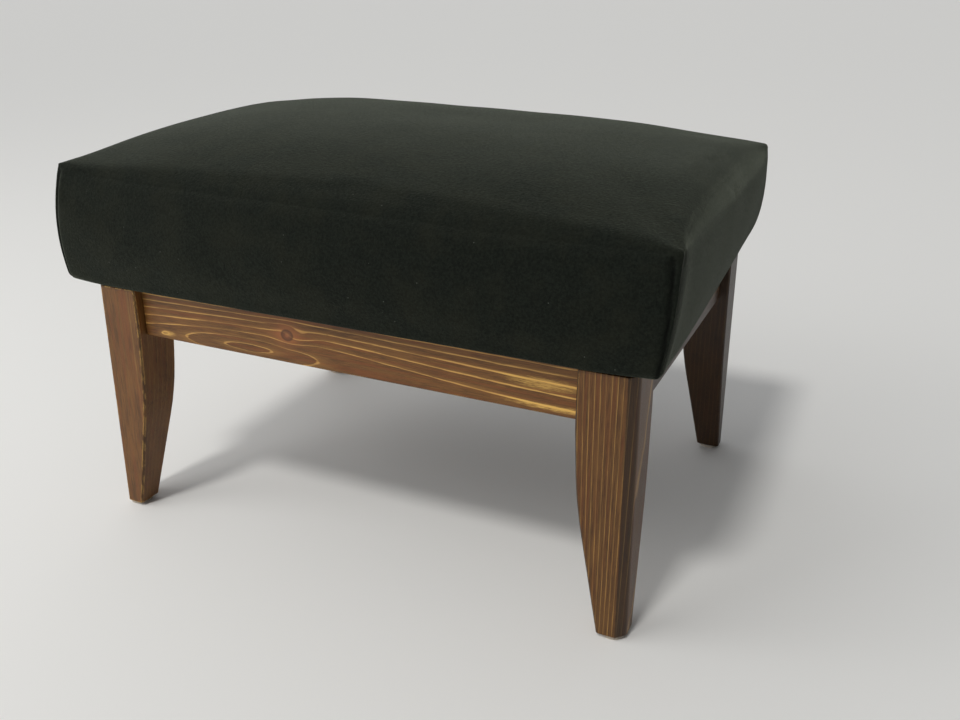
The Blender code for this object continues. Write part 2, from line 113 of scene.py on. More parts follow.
# Pad dressing: pulled corners, corner seams, the drooping rim and the cloth's slight unevenness.
# Pulls go outwards along X and Y. The first ones ease off upwards, and the others don't.
LOW_PULLS = {
    (1, -1): (1.5 * MM, 0.0),
    (1, 1): (-14.0 * MM, -5.0 * MM),
    (-1, -1): (3.0 * MM, 0.0),
}
LOW_PULL_FADE = {(1, -1): 3.0, (1, 1): 7.0, (-1, -1): 3.0, (-1, 1): 3.0}
EVEN_PULLS = {(1, -1): (6.5 * MM, 0.0), (1, 1): (1.8 * MM, 0.0)}
PULL_POWER = 8
END_SLANT = 6.0 * MM  # of the right end's lower edge, out towards the front
END_SLANT_TURN = 0.3  # share of the half depth where it changes from out to in
SEAM_DEPTH = 1.8 * MM
SEAM_WIDTH = 1.2 * MM
SEAM_OFFSET = (2.5 * MM, 8.0 * MM)  # from the corner, at the bottom and at the top
SEAM_TOP = 0.97  # share of the height where the corner seams end
FOLD_REACH = (4.0 * MM, 20.0 * MM)  # of the dart's fold round the corner, at the bottom and at the top
FOLD_DEPTH = 1.6 * MM
FOLD_SHADE = 0.45  # how dark the painted shade on the fold is, as a share of that in the seam
PUCKER_REACH = 9.0 * MM
PUCKER_END = 3  # there are none beyond so many reaches from the corner
PUCKER_DEPTH = 0.6 * MM
PUCKER_FOLDS = 6
PUCKER_FOLD_SHARE = 0.4  # of their depth, for the folds round the corner's dimple
RIM_DROOP = (0.8, 0.5)  # its even and its wavy share
RIM_DROOP_DEPTH = 1.3 * MM
RIM_WAVE = 30.0 * MM
UNEVEN_SIZE = 55.0 * MM
UNEVEN_DEPTH = 0.7 * MM
EDGE_FADE = 4  # the fold and the unevenness fade out over a fourth of the height

# Underneath
PLY_LAYERS = 9
DOT_PITCH = 2.4 * MM
DUST_CLOTH = 0.2 * MM
DUST_EDGE = 0.3 * MM  # left free outside its folded edges
DUST_HEM = 12.0 * MM
DUST_SAG = 1.8 * MM
DUST_PUCKER = 1.2 * MM
DUST_CREASE = (26.0 * MM, 18.0 * MM)
DUST_COLUMNS = (60, 0.4)
DUST_ROWS = (44, 0.4)
HEM_STEPS = (0.25, 0.5, 0.75, 1.0)


# ---------------------------------------------------------------- materials
class Paint:
    """A node material being built, with a short method for each kind of node it uses."""

    def __init__(self, name):
        """Start a material that is painted by the place on its object."""
        self.material = bpy.data.materials.new(name)
        self.material.use_nodes = True
        self.tree = self.material.node_tree
        self.shader = self.tree.nodes["Principled BSDF"]
        self.place = self.node("TexCoord").outputs["Object"]

    def node(self, kind, inputs=(), **settings):
        """Add a node, with its settings and its inputs, which are values or other nodes' outputs."""
        made = self.tree.nodes.new("ShaderNode" + kind)
        for name, value in settings.items():
            setattr(made, name, value)
        for key, value in dict(inputs).items():
            self.feed(made.inputs[key], value)
        return made

    def feed(self, socket, value):
        """Give a socket a value, or link another node's output to it."""
        if isinstance(value, bpy.types.NodeSocket):
            self.tree.links.new(value, socket)
        else:
            socket.default_value = value

    def set(self, **inputs):
        """Set the shader's inputs, with _ for the spaces in their names."""
        for name, value in inputs.items():
            self.feed(self.shader.inputs[name.replace("_", " ")], value)

    def math(self, operation, *values):
        """Return the result of a sum on one, two or three values."""
        return self.node("Math", enumerate(values), operation=operation).outputs[0]

    def axes(self):
        """Return the place's X, Y and Z, in metres."""
        return self.node("SeparateXYZ", {0: self.place}).outputs

    def vector(self, *parts):
        """Return a vector from its X, Y and Z."""
        return self.node("CombineXYZ", enumerate(parts)).outputs[0]

    def noise(self, size, detail=2.0, rough=0.5, shift=0.0, place=None):
        """Return noise from 0 to 1, its grain as large as size, or as three sizes, in metres."""
        sizes = size if isinstance(size, tuple) else (size, size, size)
        shares = [1 / part for part in sizes]
        stretch = {0: place or self.place, 1: shares, 2: (shift, shift, shift)}
        placed = self.node("VectorMath", stretch, operation="MULTIPLY_ADD").outputs[0]
        inputs = {"Vector": placed, "Scale": 1.0, "Detail": detail, "Roughness": rough}
        return self.node("TexNoise", inputs).outputs[0]

    def between(self, value, low, high, start=0.0, end=1.0):
        """Return start to end as value goes from low to high, easing in and out."""
        inputs = {"Value": value, "From Min": low, "From Max": high, "To Min": start, "To Max": end}
        return self.node("MapRange", inputs, interpolation_type="SMOOTHSTEP").outputs[0]

    def mix(self, share, under, over):
        """Return the colour under, with a share of the colour over."""
        made = self.node("Mix", {"Factor": share}, data_type="RGBA")
        self.feed(made.inputs[6], colour(under))
        self.feed(made.inputs[7], colour(over))
        return made.outputs[2]

    def bump(self, height, depth, smooth=None):
        """Feed the shader's normal from a height, which counts from 0 to 1 for the depth in metres."""
        inputs = {"Height": height, "Distance": depth, "Strength": 1.0}
        if smooth:
            inputs["Normal"] = smooth
        self.set(Normal=self.node("Bump", inputs).outputs[0])

    def hill(self, along, up, spot, reach):
        """Return 1 at a spot, given along and up, falling to 0 beyond its reach."""
        shares = []
        for value, middle, size in zip((along, up), spot, reach):
            offset = self.math("MULTIPLY", self.math("SUBTRACT", value, middle), 1 / size)
            shares.append(self.math("MULTIPLY", offset, offset))
        return self.math("EXPONENT", self.math("MULTIPLY", self.math("ADD", *shares), -1.0))


def colour(value):
    """Return a colour with its fourth number, or another node's output as it is."""
    return (*value, 1.0) if isinstance(value, tuple) else value


def felt():
    """Return the cover's black-green wool felt: matt, a little fluffy, with paler lint on it."""
    paint = Paint("felt")
    cloud = paint.noise(26 * MM, detail=3, rough=0.6)
    mottle = paint.noise(1.9 * MM, detail=4, rough=0.75, shift=3.1)
    fibre = paint.noise((1.6 * MM, 0.8 * MM, 0.9 * MM), detail=2, shift=7.7)
    wool = ((0.0036, 0.0049, 0.0036), (0.0092, 0.0117, 0.0086))
    shade = paint.mix(paint.between(mottle, 0.32, 0.68), *wool)
    shade = paint.mix(paint.between(cloud, 0.35, 0.7, 0.0, 0.24), shade, (0.020, 0.020, 0.012))
    lint = paint.node("TexVoronoi", {"Vector": paint.place, "Scale": 1 / (9 * MM)})
    chance = paint.node("SeparateColor", {0: lint.outputs["Color"]}).outputs[0]
    rare = paint.math("GREATER_THAN", chance, 0.72)
    speck = paint.math("MULTIPLY", paint.between(lint.outputs["Distance"], 0.055, 0.025), rare)
    shade = paint.mix(paint.math("MULTIPLY", speck, 0.55), shade, (0.13, 0.14, 0.12))
    # painted shade: the felt is darkened, with less sheen, in the corner seams' grooves and on the
    # folds behind them
    seam_shade = paint.node("Attribute", attribute_name="seam_shade").outputs["Fac"]
    shade = paint.mix(paint.math("MULTIPLY", seam_shade, 0.85), shade, (0.0012, 0.0014, 0.0012))
    nap = paint.between(mottle, 0.25, 0.75, 0.19, 0.35)
    nap = paint.math("MULTIPLY", nap, paint.math("SUBTRACT", 1.0, paint.math("MULTIPLY", seam_shade, 0.9)))
    paint.set(Base_Color=shade, Roughness=0.80, Specular_IOR_Level=0.06)
    paint.set(Sheen_Weight=nap, Sheen_Roughness=0.42, Sheen_Tint=(0.60, 0.66, 0.52, 1))
    height = paint.math("ADD", mottle, paint.math("MULTIPLY", fibre, 0.6))
    paint.bump(height, 0.35 * MM)
    return paint.material


# ---------------------------------------------------------------- cushion
def eased(count, share):
    """Return levels from -1 to 1 that crowd towards both ends."""
    levels = []
    for step in range(count + 1):
        even = 2 * step / count - 1
        levels.append((1 - share) * even + share * math.sin(math.pi / 2 * even))
    return levels


def span(ends, share):
    """Return the value a share of the way from the first end to the second."""
    start, end = ends
    return start + (end - start) * share


def parabola(bottom, middle, top, rise):
    """Return the value, a share of the way up, of the parabola through three values."""
    low = bottom * (1 - rise) * (1 - 2 * rise)
    return low + middle * 4 * rise * (1 - rise) + top * rise * (2 * rise - 1)


def crown(u, v):
    """Return the height of the pad's top at a place given as shares of its half sizes."""
    fall_x = 1 - abs(u) ** CROWN_POWER
    fall_y = 1 - abs(v) ** CROWN_POWER
    slope_y = fall_y if v > 0 else 1 - abs(v) ** FRONT_POWER
    lift = CROWN_OF_ENDS * (fall_y + (slope_y - fall_y) * fall_x)
    lift += (CROWN_OF_BACK if v > 0 else CROWN_OF_BACK * slope_y) * fall_x
    lift += CROWN_OF_MIDDLE * slope_y * fall_x * (1 - CROWN_SKEW * u)
    lift += PEAKS[math.copysign(1, u), math.copysign(1, v)] * (abs(u) * abs(v)) ** PEAK_POWER
    lift -= FRONT_RIGHT_SINK * ((1 + u) / 2) ** 2 * ((1 - v) / 2) ** 3
    tilt = TILT_ALONG * u + TILT_ACROSS * v + TWIST * u * v
    return CORNER_TOP + lift + tilt


def rounded(offsets, radius):
    """Return the distances in from two faces after the edge between them is rounded."""
    inside = [max(0.0, radius - offset) for offset in offsets]
    far = math.hypot(*inside)
    if far <= radius:
        return offsets
    return [radius - part * radius / far if part else offset for part, offset in zip(inside, offsets)]


def pad_point(u, v, t, inset):
    """Return a point of the pad's surface from its shares of length, depth and height."""
    top = crown(u, v)
    height = PAD_LOW + t * (top - PAD_LOW)
    rise = min(1.0, (height - PAD_LOW) / (CORNER_TOP - PAD_LOW))
    half_x = parabola(*PAD_HALF_X, rise)
    half_y = parabola(*PAD_HALF_Y, rise)
    # each long edge rolls over softly, and more tightly towards its corners
    roll_x = span(TOP_ROLL, 1 - abs(v) ** TOP_ROLL_POWER)
    roll_y = span(TOP_ROLL, 1 - abs(u) ** TOP_ROLL_POWER)
    in_x, in_y, down = half_x * (1 - abs(u)), half_y * (1 - abs(v)), top - height
    in_x, down = rounded((in_x, down), roll_x)
    in_y, down = rounded((in_y, down), roll_y)
    in_x, in_y = rounded((in_x, in_y), span(UPRIGHT_ROLL, rise))
    # the bottom edges turn in tightly, and more softly at the corners
    if t < 0.5:
        rise_x, rise_y = top - down - PAD_LOW, top - down - PAD_LOW
        roll = span(BOTTOM_ROLL, (abs(u) * abs(v)) ** BOTTOM_ROLL_POWER)
        in_x, rise_x = rounded((in_x, rise_x), roll)
        in_y, rise_y = rounded((in_y, rise_y), roll)
        down = top - PAD_LOW - max(rise_x, rise_y)
    x = math.copysign(half_x - in_x - inset, u)
    y = math.copysign(half_y - in_y - inset, v)
    return Vector((x, y, top - down - inset * t))


def pad_mesh(name, inset):
    """Return a closed pad mesh on a grid, and each vertex's shares of length, depth and height."""
    across = eased(*PAD_COLUMNS)
    along = eased(*PAD_ROWS)
    up = [(level + 1) / 2 for level in eased(*PAD_TIERS)]
    last_i, last_j, last_k = len(across) - 1, len(along) - 1, len(up) - 1
    bm = bmesh.new()
    made = {}
    shares = []

    def vert(i, j, k):
        """Return the vertex at a column, a row and a tier, made when it is first asked for."""
        if (i, j, k) not in made:
            shares.append((across[i], along[j], up[k]))
            made[i, j, k] = bm.verts.new(pad_point(*shares[-1], inset))
        return made[i, j, k]

    def quad(*corners):
        """Add the face between four places of the grid."""
        bm.faces.new([vert(*corner) for corner in corners])

    for i in range(last_i):
        for j in range(last_j):
            quad((i, j, last_k), (i + 1, j, last_k), (i + 1, j + 1, last_k), (i, j + 1, last_k))
            quad((i, j, 0), (i, j + 1, 0), (i + 1, j + 1, 0), (i + 1, j, 0))
        for k in range(last_k):
            quad((i, 0, k), (i + 1, 0, k), (i + 1, 0, k + 1), (i, 0, k + 1))
            quad((i + 1, last_j, k), (i, last_j, k), (i, last_j, k + 1), (i + 1, last_j, k + 1))
    for j in range(last_j):
        for k in range(last_k):
            quad((0, j + 1, k), (0, j, k), (0, j, k + 1), (0, j + 1, k + 1))
            quad((last_i, j, k), (last_i, j + 1, k), (last_i, j + 1, k + 1), (last_i, j, k + 1))
    bmesh.ops.recalc_face_normals(bm, faces=bm.faces)
    mesh = bpy.data.meshes.new(name)
    bm.to_mesh(mesh)
    bm.free()
    return mesh, shares


def swell(pad, shares):
    """Blow the pad up a little by cloth simulation, held at its bottom and its corner seams."""
    held = pad.vertex_groups.new(name="held")
    for index, (u, v, t) in enumerate(shares):
        if pad.data.vertices[index].co.z < PAD_LOW + HELD_BAND or min(abs(u), abs(v)) > HELD_CORNER:
            held.add([index], 1.0, "REPLACE")
    cloth = pad.modifiers.new("swell", "CLOTH")
    settings = cloth.settings
    for name, value in SWELL_CLOTH.items():
        setattr(settings, name, value)
    settings.use_pressure = True
    settings.uniform_pressure_force = SWELL_PRESSURE
    settings.vertex_group_mass = "held"
    settings.effector_weights.gravity = 0
    cloth.point_cache.frame_end = SWELL_FRAMES
    scene = bpy.context.scene
    for step in range(1, SWELL_FRAMES + 1):
        scene.frame_set(step)
    shaped = pad.evaluated_get(bpy.context.evaluated_depsgraph_get())
    moved = [v.co.copy() for v in shaped.data.vertices]
    pad.modifiers.remove(cloth)
    pad.vertex_groups.remove(held)
    scene.frame_set(1)
    for v, place in zip(pad.data.vertices, moved):
        shift = place - v.co
        if shift.length > SWELL_CAP:
            shift *= SWELL_CAP / shift.length
        v.co += shift


def ease_top(mesh, shares):
    """Smooth the heights of the pad's top, so that no crease shows where its rolled edges meet."""
    on_top = set()
    for index, (u, v, t) in enumerate(shares):
        if t == 1 and max(abs(u), abs(v)) < 1:
            on_top.add(index)
    near = {index: [] for index in on_top}
    for edge in mesh.edges:
        a, b = edge.vertices
        if a in near:
            near[a].append(b)
        if b in near:
            near[b].append(a)
    for _ in range(EASE_ROUNDS):
        heights = [v.co.z for v in mesh.vertices]
        for index in sorted(on_top):
            mean = sum(heights[other] for other in near[index]) / len(near[index])
            mesh.vertices[index].co.z = (heights[index] + mean) / 2


def in_seam(u, v, t):
    """Return how deep, from 0 to 1, a point lies in a corner seam, on a long face."""
    if abs(v) < 1 or t == 0 or t > SEAM_TOP:
        return 0.0
    across = (PAD_HALF_X[1] * (1 - abs(u)) - span(SEAM_OFFSET, t)) / SEAM_WIDTH
    return math.exp(-across * across)


def in_fold(u, v, t):
    """Return how deep, from 0 to 1, a point lies in a fold behind a corner seam, on an end face."""
    if abs(u) < 1 or t == 0 or t > SEAM_TOP:
        return 0.0
    across = PAD_HALF_Y[1] * (1 - abs(v)) / span(FOLD_REACH, t)
    return math.exp(-(across**4))


def dressed(place, normal, u, v, t):
    """Return a point of the pad after the cloth is pulled, darted and tacked down."""
    side = Vector((math.copysign(1, u), math.copysign(1, v), 0))
    corner = (int(side.x), int(side.y))
    moved = place.copy()
    for pulls, share in ((LOW_PULLS, (1 - t) ** LOW_PULL_FADE[corner]), (EVEN_PULLS, 1.0)):
        if corner in pulls:
            pull = Vector((pulls[corner][0] * side.x, pulls[corner][1] * side.y, 0))
            moved += pull * (abs(u) * abs(v)) ** PULL_POWER * share
    if u > 0:
        slant = END_SLANT * (END_SLANT_TURN - v) * u**PULL_POWER * (1 - v**4)
        moved.x += slant * (1 - t) ** LOW_PULL_FADE[1, -1]
    moved.y -= side.y * SEAM_DEPTH * in_seam(u, v, t)
    moved.x -= side.x * FOLD_DEPTH * in_fold(u, v, t) * min(1.0, EDGE_FADE * (1 - t))
    # a small dimple at the corner's tip, with puckers round it
    tip = Vector((PAD_HALF_X[2] * side.x, PAD_HALF_Y[2] * side.y, CORNER_TOP))
    reach = (place - tip).length / PUCKER_REACH
    if reach < PUCKER_END:
        turn = math.atan2(place.y - tip.y, place.x - tip.x)
        folds = PUCKER_FOLD_SHARE * math.cos(PUCKER_FOLDS * turn) * math.exp(-((reach - 1) ** 2) * 3)
        moved -= normal * PUCKER_DEPTH * (math.exp(-reach * reach * 2) + folds)
    # the rim laps down a little past the frame's top
    if t == 0 and max(abs(u), abs(v)) == 1:
        droop = RIM_DROOP_DEPTH * (RIM_DROOP[0] + RIM_DROOP[1] * noise.noise(place / RIM_WAVE))
        moved.z -= droop * (1 - (abs(u) * abs(v)) ** BOTTOM_ROLL_POWER)
    moved += normal * UNEVEN_DEPTH * noise.noise(place / UNEVEN_SIZE) * min(1.0, EDGE_FADE * t)
    return moved


def make_cushion():
    """Make the filled pad in its cover, which stands for the foam, the wadding and the cover."""
    mesh, shares = pad_mesh("upholstered_pad", SWELL_ROOM)
    pad = bpy.data.objects.new("upholstered_pad", mesh)
    bpy.context.scene.collection.objects.link(pad)
    swell(pad, shares)
    ease_top(mesh, shares)
    normals = [v.normal.copy() for v in mesh.vertices]
    for v, normal, share in zip(mesh.vertices, normals, shares):
        v.co = dressed(v.co, normal, *share)
    # painted shade: how much the felt is darkened in the corner seams' grooves and, less, on the folds
    # behind them
    seam_shade = mesh.attributes.new("seam_shade", "FLOAT", "POINT")
    for point, share in zip(seam_shade.data, shares):
        point.value = max(in_seam(*share), FOLD_SHADE * in_fold(*share))
    smooth = pad.modifiers.new("smooth", "SUBSURF")
    smooth.levels = 1
    smooth.render_levels = 1
    for face in mesh.polygons:
        face.use_smooth = True
    mesh.materials.append(felt())
    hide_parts("seat_cover", "seat_wadding", "seat_foam")
    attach(pad, "root")


# ---------------------------------------------------------------- wood
# The grain's direction, then the two directions across it
GRAIN_AXES = {"X": (0, 2, 1), "Y": (1, 2, 0), "Z": (2, 0, 1)}

# Dark and pale fibres, red streaks, late wood in the rings' lines, bare worn wood, knots and their
# halos. The soft early wood takes the stain, and the hard late wood hardly does
STAINED = {
    "dark": (0.060, 0.0225, 0.0047),
    "pale": (0.198, 0.087, 0.020),
    "red": (0.178, 0.050, 0.0115),
    "late": (0.600, 0.330, 0.088),
    "bare": (0.720, 0.430, 0.105),
    "knot": (0.080, 0.028, 0.014),
    "halo": (0.380, 0.130, 0.042),
}
RAW_PINE = {
    "dark": (0.560, 0.360, 0.180),
    "pale": (0.700, 0.500, 0.280),
    "red": (0.620, 0.400, 0.200),
    "late": (0.420, 0.210, 0.080),
    "bare": (0.720, 0.530, 0.320),
    "knot": (0.200, 0.085, 0.035),
    "halo": (0.480, 0.250, 0.100),
}


def round_rings(pith, first, spacing, spread=0.0):
    """Return the rings of a piece whose tree's pith lies at a place across the grain."""

    def rings(paint, along, up, deep):
        """Return each point's ring number and the rings' spacing."""
        offset = paint.vector(
            paint.math("SUBTRACT", up, pith[0]), paint.math("SUBTRACT", deep, pith[1]), 0.0
        )
        far = paint.node("VectorMath", {0: offset}, operation="LENGTH").outputs["Value"]
        apart = paint.math("MULTIPLY_ADD", along, spread, spacing)
        return paint.math("DIVIDE", paint.math("SUBTRACT", far, first), apart), apart

    return rings


def knotty_rings(top, knot):
    """Return the front apron's rings: they squeeze past its knot, and loop below it."""
    spacing = 3.8 * MM
    # each bend's middle, its reach and how far it shifts the lines
    bends = (
        ((knot[0] - 38 * MM, knot[1] - 15.5 * MM), (54 * MM, 6.5 * MM), 19.5 * MM),
        ((knot[0] + 12 * MM, knot[1] + 1 * MM), (12 * MM, 5 * MM), -5 * MM),
        ((knot[0] - 118 * MM, knot[1] - 17 * MM), (9 * MM, 3.5 * MM), 5 * MM),
    )

    def rings(paint, along, up, _deep):
        """Return each point's ring number, and the spacing that its line's width is measured by."""
        near = paint.hill(along, up, knot, (13 * MM, 8 * MM))
        narrowed = paint.math("SUBTRACT", 1.0, paint.math("MULTIPLY", near, 0.70))
        up = paint.math("MULTIPLY_ADD", paint.math("SUBTRACT", up, knot[1]), narrowed, knot[1])
        squeeze = paint.hill(along, up, knot, (140 * MM, 1.0))
        stretch = paint.math("MULTIPLY_ADD", squeeze, -0.47, 1.25)
        below = paint.math("DIVIDE", paint.math("SUBTRACT", top, up), stretch)
        spare = paint.math("MAXIMUM", paint.math("SUBTRACT", below, 30 * MM), 0.0)
        below = paint.math("MULTIPLY_ADD", spare, -0.8, below)
        for spot, reach, shift in bends:
            hill = paint.hill(along, up, spot, reach)
            below = paint.math("MULTIPLY_ADD", hill, shift, below)
        apart = paint.math("MULTIPLY_ADD", below, 0.065, spacing)
        number = paint.math("ADD", paint.math("DIVIDE", below, apart), 0.5)
        steep = paint.math("MULTIPLY", apart, paint.math("MULTIPLY", apart, 1 / spacing))
        return number, steep

    return rings


def pine(name, grain, rings, seed, line=0.5 * MM, contrast=0.8, tone_and_shade=1.0, worn=0.0, wander=1.2 * MM,
         knots=(), rubbed=(), palette=STAINED, gloss=0.40, chamfer_shade_tone=1.0, wear=1.0 * MM):
    """Return pine with its rings, fibres, blotches, knots, rubbed patches and chipped edges, and
    painted shade where asked for.
    """
    paint = Paint(name)
    axes = paint.axes()
    order = GRAIN_AXES[grain]
    along, up, deep = (axes[index] for index in order)

    def lengthwise(length, width, detail, rough=0.5, shift=0.0):
        """Return noise that is drawn out along the grain."""
        sizes = [width, width, width]
        sizes[order[0]] = length
        return paint.noise(tuple(sizes), detail, rough, seed + shift)

    # the late wood's lines, which wander and fade, and the pale wood that leads up to each
    drift = paint.math("SUBTRACT", lengthwise(120 * MM, 26 * MM, 2), 0.5)
    shiver = paint.math("SUBTRACT", lengthwise(17 * MM, 5 * MM, 2, shift=3), 0.5)
    wavy = paint.math("MULTIPLY_ADD", drift, 2 * wander, up)
    wavy = paint.math("MULTIPLY_ADD", shiver, 0.45 * wander, wavy)
    number, apart = rings(paint, along, wavy, deep)
    phase = paint.math("FRACT", number)
    off = paint.math("MULTIPLY", paint.math("ABSOLUTE", paint.math("SUBTRACT", phase, 0.5)), apart)
    patchy = lengthwise(38 * MM, 2.5 * MM, 3, shift=5)
    width = paint.between(patchy, 0.3, 0.75, 0.45 * line, 1.3 * line)
    late = paint.between(paint.math("DIVIDE", off, width), 1.0, 0.2)
    late = paint.math("MULTIPLY", late, paint.between(patchy, 0.25, 0.65, 0.35 * contrast, contrast))
    before = paint.math("LESS_THAN", phase, 0.5)
    glow = paint.math("MULTIPLY", paint.between(phase, 0.12, 0.5), before)

    # the fibres, streaks and blotches of the stain
    fibre = lengthwise(16 * MM, 0.45 * MM, 3, 0.7, 2)
    pores = lengthwise(5 * MM, 0.35 * MM, 2, 0.6, 8)
    blotch = lengthwise(46 * MM, 10 * MM, 4, 0.6, 9)
    streak = lengthwise(80 * MM, 2.4 * MM, 3, shift=13)
    shade = paint.mix(paint.between(fibre, 0.28, 0.72), palette["dark"], palette["pale"])
    shade = paint.mix(paint.between(streak, 0.45, 0.72, 0.0, 0.60), shade, palette["red"])
    shade = paint.mix(paint.between(blotch, 0.42, 0.70, 0.0, 0.50), shade, palette["pale"])
    shade = paint.mix(paint.between(blotch, 0.45, 0.28, 0.0, 0.45), shade, palette["dark"])
    shade = paint.mix(paint.math("MULTIPLY", glow, 0.16 * contrast), shade, palette["late"])
    shade = paint.mix(late, shade, palette["late"])
    shade = paint.mix(paint.between(pores, 0.60, 0.72, 0.0, 0.55), shade, palette["dark"])
    for spot, reach, strength in rubbed:
        patch = paint.math("MULTIPLY", paint.hill(along, up, spot, reach), 1.5)
        grit = paint.math("MULTIPLY", patch, paint.math("ADD", pores, late))
        grit = paint.between(grit, 0.30, 0.85, 0.0, strength)
        shade = paint.mix(grit, shade, palette["bare"])
    for spot, reach in knots:
        halo = paint.hill(along, up, spot, (reach * 0.95, reach * 0.85))
        halo = paint.math("MULTIPLY", halo, paint.between(blotch, 0.25, 0.55, 0.45, 1.0))
        shade = paint.mix(paint.math("MULTIPLY", halo, 0.70), shade, palette["halo"])
        core = paint.hill(along, up, spot, (reach * 0.50, reach * 0.42))
        outer = paint.between(core, 0.28, 0.42)
        rim = paint.math("MULTIPLY", outer, paint.between(core, 0.75, 0.45))
        shade = paint.mix(paint.between(core, 0.34, 0.50, 0.0, 0.70), shade, palette["knot"])
        shade = paint.mix(paint.math("MULTIPLY", rim, 0.5), shade, palette["dark"])
        shade = paint.mix(paint.between(core, 0.80, 1.0, 0.0, 0.45), shade, palette["halo"])

    # the worn edges, and painted shade on the chamfers, which are darkened by how they slant
    smooth = paint.node("Bevel", {"Radius": wear}).outputs[0]
    if worn:
        plain = paint.node("NewGeometry").outputs["Normal"]
        edge = paint.node("VectorMath", {0: smooth, 1: plain}, operation="DOT_PRODUCT")
        least = 0.56 - 0.14 * worn
        chips = paint.between(lengthwise(11 * MM, 3 * MM, 3, shift=21), least, least + 0.12)
        edges = paint.between(edge.outputs["Value"], 0.995, 0.93, 0.0, worn)
        shade = paint.mix(paint.math("MULTIPLY", edges, chips), shade, palette["bare"])
    # painted shade: the slanting chamfer faces are darkened, as if they lay in shade
    if chamfer_shade_tone < 1:
        face = paint.node("SeparateXYZ", {0: paint.node("NewGeometry").outputs["Normal"]}).outputs
        slant = paint.math("ABSOLUTE", paint.math("MULTIPLY", face[0], face[1]))
        shade = paint.mix(paint.between(slant, 0.18, 0.42, 0.0, 1 - chamfer_shade_tone), shade, BLACK)
    # darkens the whole piece: its stain's tone, and on the pieces that stand in shade also painted
    # shade
    shade = paint.mix(1.0 - tone_and_shade, shade, BLACK)
    grip = paint.between(fibre, 0.2, 0.8, gloss - 0.06, gloss + 0.12)
    paint.set(Base_Color=shade, Roughness=grip, Specular_IOR_Level=0.36)
    height = paint.math("MULTIPLY_ADD", late, 0.5, fibre)
    paint.bump(height, 0.12 * MM, smooth)
    return paint.material


def dress_wood():
    """Give each piece of the frame its own stained pine."""
    low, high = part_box("apron_front")
    knot = (low[0] + 0.376 * (high[0] - low[0]), low[2] + 0.565 * (high[2] - low[2]))
    rubbed = (
        ((high[0] - 24 * MM, high[2] - 18 * MM), (34 * MM, 6 * MM), 0.55),
        ((low[0] + 23 * MM, low[2] + 5 * MM), (9 * MM, 3 * MM), 0.55),
        ((high[0] - 12 * MM, low[2] + 5 * MM), (50 * MM, 2.8 * MM), 0.90),
    )
    rings = knotty_rings(high[2] + 1 * MM, knot)
    front = pine("pine_apron_front", "X", rings, 1.0, line=0.75 * MM, contrast=0.85, worn=0.5,
                 knots=((knot, 11 * MM),), rubbed=rubbed)
    paint_node("apron_front", front)
    # the right apron's low tone is its stain's tone and painted shade, for the shade on that side
    for name, side, tone_and_shade in (
        ("apron_back", 1, 0.85),
        ("apron_left", 2, 0.85),
        ("apron_right", 3, 0.33),
    ):
        low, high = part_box(name)
        grain = "X" if name == "apron_back" else "Y"
        lengthwise, deep = (0, 1) if grain == "X" else (1, 0)
        rings = round_rings((low[2] - 8 * MM, low[deep] - 30 * MM), 11 * MM * side, 4.6 * MM)
        centre = 0.5 * (low[lengthwise] + high[lengthwise])
        knots = (((centre + 40 * MM * (side - 2), low[2] + 22 * MM), 10 * MM),) if side != 2 else ()
        wood = pine("pine_" + name, grain, rings, 7.0 * side, contrast=0.5, tone_and_shade=tone_and_shade, worn=0.3,
                    knots=knots)
        paint_node(name, wood)
    dress_legs()


def dress_legs():
    """Give each leg its own cut of the same stained pine."""
    low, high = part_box("leg_front_right")
    rings = round_rings((high[0] - 300 * MM, low[1]), 300 * MM - 10.5 * MM, 3.0 * MM, 0.004)
    wood = pine("pine_leg_front_right", "Z", rings, 3.0, line=0.30 * MM, contrast=0.70, tone_and_shade=0.72,
                worn=0.4, wander=0.4 * MM, chamfer_shade_tone=0.45)
    paint_node("leg_front_right", wood)
    low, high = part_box("leg_front_left")
    rings = round_rings((low[0] + 16 * MM, low[1] + 52 * MM), 12 * MM, 4.1 * MM)
    wood = pine("pine_leg_front_left", "Z", rings, 11.0, line=0.4 * MM, contrast=0.12, worn=0.95,
                chamfer_shade_tone=0.6, wear=1.8 * MM)
    paint_node("leg_front_left", wood)
    # this leg's low tone is its stain's tone and painted shade, for the shade under the seat that it
    # stands in
    low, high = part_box("leg_back_right")
    rings = round_rings((low[0] - 60 * MM, low[1] + 10 * MM), 12 * MM, 3.9 * MM)
    wood = pine("pine_leg_back_right", "Z", rings, 17.0, line=0.4 * MM, contrast=0.25, tone_and_shade=0.24,
                worn=0.4)
    paint_node("leg_back_right", wood)
    low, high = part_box("leg_back_left")
    rings = round_rings((low[0] - 30 * MM, high[1] + 50 * MM), 12 * MM, 4.0 * MM)
    wood = pine("pine_leg_back_left", "Z", rings, 23.0, line=0.4 * MM, contrast=0.4, tone_and_shade=0.72,
                worn=0.4)
    paint_node("leg_back_left", wood)


def paint_node(name, material):
    """Give a carried-over node its material."""
    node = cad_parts[name]
    node.data.materials.clear()
    node.data.materials.append(material)


# ---------------------------------------------------------------- inside and underneath
def beech(name, along):
    """Return beech: straight pale fibres with short dark flecks, running along one axis."""
    paint = Paint(name)
    sizes = [0.5 * MM, 0.5 * MM, 0.5 * MM]
    sizes[along] = 22 * MM
    fleck = [0.7 * MM, 0.7 * MM, 0.7 * MM]
    fleck[along] = 2.4 * MM
    fibre = paint.noise(tuple(sizes), detail=3, rough=0.6)
    flecks = paint.noise(tuple(fleck), detail=1, shift=6.0)
    shade = paint.mix(paint.between(fibre, 0.3, 0.7), (0.44, 0.25, 0.12), (0.62, 0.41, 0.23))
    shade = paint.mix(paint.between(flecks, 0.62, 0.70, 0.0, 0.5), shade, (0.27, 0.13, 0.055))
    paint.set(Base_Color=shade, Roughness=paint.between(fibre, 0.3, 0.7, 0.55, 0.68))
    paint.bump(fibre, 0.15 * MM)
    return paint.material


